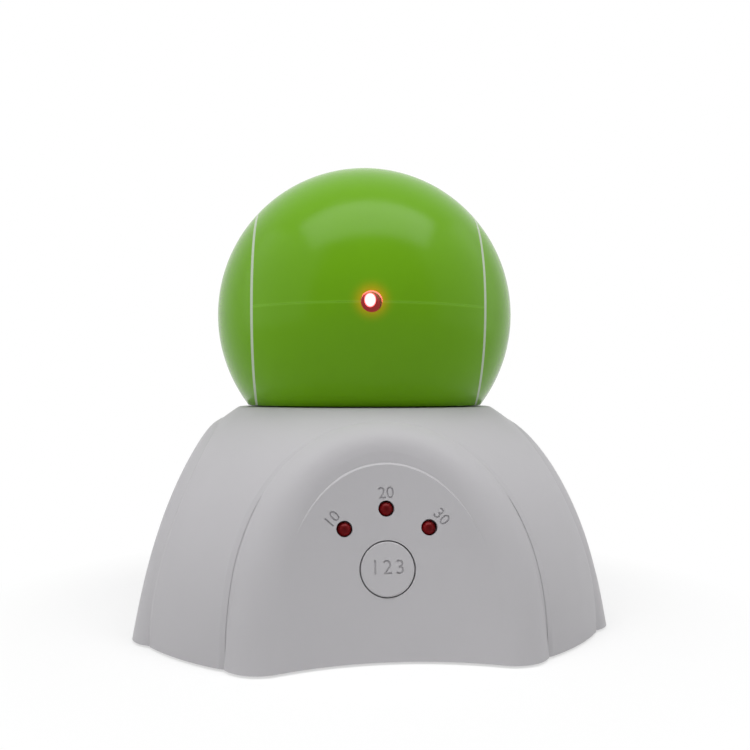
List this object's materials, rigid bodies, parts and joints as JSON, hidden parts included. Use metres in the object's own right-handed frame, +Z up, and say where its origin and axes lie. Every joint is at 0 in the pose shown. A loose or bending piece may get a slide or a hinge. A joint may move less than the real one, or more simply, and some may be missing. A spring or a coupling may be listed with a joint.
{
  "type": "automatic cat laser toy",
  "caption": "Domed base with four arched lobes, a push button and red lamps, and a ball-shaped head that turns on top and aims a laser through a small hole.",
  "frame": {"origin": "on the table under the head's turning axis, level with the soles of the feet", "axes": "+Z up along the head's turning axis, -Y to the front lobe with the button and lamps, +X to the right of the object seen from the front"},
  "size_m": [0.1046, 0.1046, 0.1076],
  "materials": {
    "white_plastic": "satin moulded plastic, light grey-white",
    "white_trim": "satin moulded plastic, white",
    "green_plastic": "satin moulded plastic, lime green",
    "lamp_red": "clear red epoxy",
    "rubber_grey": "matte",
    "steel_screw": "zinc plated",
    "spring_steel": "nickel plated",
    "motor_steel": "plain",
    "board_green": "solder mask",
    "chip_black": "moulded epoxy",
    "switch_black": "moulded",
    "cell_wrap": "shrink film",
    "nylon": "natural nylon",
    "chassis_plastic": "moulded",
    "copper": "plated track",
    "brass": "turned",
    "lens_acrylic": "clear acrylic",
    "wire_red": "insulation"
  },
  "bodies": {
    "base": {"base_shell": "white_plastic", "base_plate": "white_plastic", "rubber_feet": "rubber_grey", "base_screws": "steel_screw", "aa_cell_1": "cell_wrap", "aa_cell_2": "cell_wrap", "aa_cell_3": "cell_wrap", "battery_springs": "spring_steel", "battery_contacts": "spring_steel", "control_board": "board_green", "board_screws": "steel_screw", "controller_chip": "chip_black", "tact_switch": "switch_black", "lamp_leads": "spring_steel", "indicator_lamp_left": "lamp_red", "indicator_lamp_middle": "lamp_red", "indicator_lamp_right": "lamp_red", "chassis_plate": "chassis_plastic", "chassis_screws": "steel_screw", "gear_pins": "steel_screw", "pan_motor": "motor_steel", "brush_block": "chassis_plastic", "slip_brushes": "copper", "glide_ring": "nylon", "base_wires": "wire_red"},
    "door": {"battery_door": "white_plastic", "door_screws": "steel_screw"},
    "button": {"mode_button": "white_plastic", "switch_plunger": "switch_black"},
    "pan_motor_rotor": {"pan_motor_shaft": "steel_screw", "motor_pinion": "brass"},
    "first_gear": {"compound_gear_a": "nylon"},
    "second_gear": {"compound_gear_b": "nylon"},
    "laser": {"laser_carrier": "chassis_plastic", "laser_pivot_pins": "steel_screw", "laser_barrel": "brass", "laser_lens": "lens_acrylic", "laser_diode": "steel_screw", "laser_driver_board": "board_green"},
    "tilt_rotor": {"tilt_pinion": "nylon", "tilt_shaft": "steel_screw"},
    "head": {"turntable_gear": "nylon", "band_upper_shell": "green_plastic", "band_lower_shell": "green_plastic", "left_ring_upper": "white_trim", "left_ring_lower": "white_trim", "right_ring_upper": "white_trim", "right_ring_lower": "white_trim", "left_side_cap": "green_plastic", "right_side_cap": "green_plastic", "turntable_hub": "nylon", "hub_screws": "steel_screw", "hub_clip": "spring_steel", "slip_ring_disc": "board_green", "slip_ring_tracks": "copper", "head_screws": "steel_screw", "tilt_gearbox": "chassis_plastic", "tilt_motor": "motor_steel", "tilt_motor_bracket": "chassis_plastic", "head_wires": "wire_red"}
  },
  "joints": [
    {"name": "head_pan", "type": "hinge", "parent": "base", "child": "head", "pos_m": [0, 0, 0.0487], "axis": [0, 0, 1], "continuous": true},
    {"name": "second_gear_spin", "type": "hinge", "parent": "base", "child": "second_gear", "pos_m": [-0.01696, 0.00617, 0.04], "axis": [0, 0, 1], "continuous": true},
    {"name": "first_gear_spin", "type": "hinge", "parent": "base", "child": "first_gear", "pos_m": [-0.01923, 0.01903, 0.038], "axis": [0, 0, 1], "continuous": true},
    {"name": "pan_motor_spin", "type": "hinge", "parent": "base", "child": "pan_motor_rotor", "pos_m": [-0.00638, 0.02129, 0.035], "axis": [0, 0, 1], "continuous": true},
    {"name": "laser_tilt", "type": "hinge", "parent": "head", "child": "laser", "pos_m": [-0.00195, -0.03094, 0.0715], "axis": [0.998, -0.0628, 0], "range_deg": [-8, 10]},
    {"name": "tilt_pinion_spin", "type": "hinge", "parent": "head", "child": "tilt_rotor", "pos_m": [-0.0005, -0.00793, 0.0715], "axis": [0.998, -0.0628, 0], "range_deg": [-67, 54]},
    {"name": "mode_button_press", "type": "slide", "parent": "base", "child": "button", "axis": [0, 0.9799, -0.1994], "range_m": [0, 0.0008], "stiffness_N_per_m": 500, "springref_m": -0.0004},
    {"name": "battery_door_off", "type": "slide", "parent": "base", "child": "door", "axis": [0, 0, -1], "range_m": [0, 0.025]}
  ],
  "couplings": [
    {"joint": "second_gear_spin", "follows": "head_pan", "ratio": -5},
    {"joint": "first_gear_spin", "follows": "head_pan", "ratio": 16.667},
    {"joint": "pan_motor_spin", "follows": "head_pan", "ratio": -55.556},
    {"joint": "tilt_pinion_spin", "follows": "laser_tilt", "ratio": -6.6667}
  ]
}
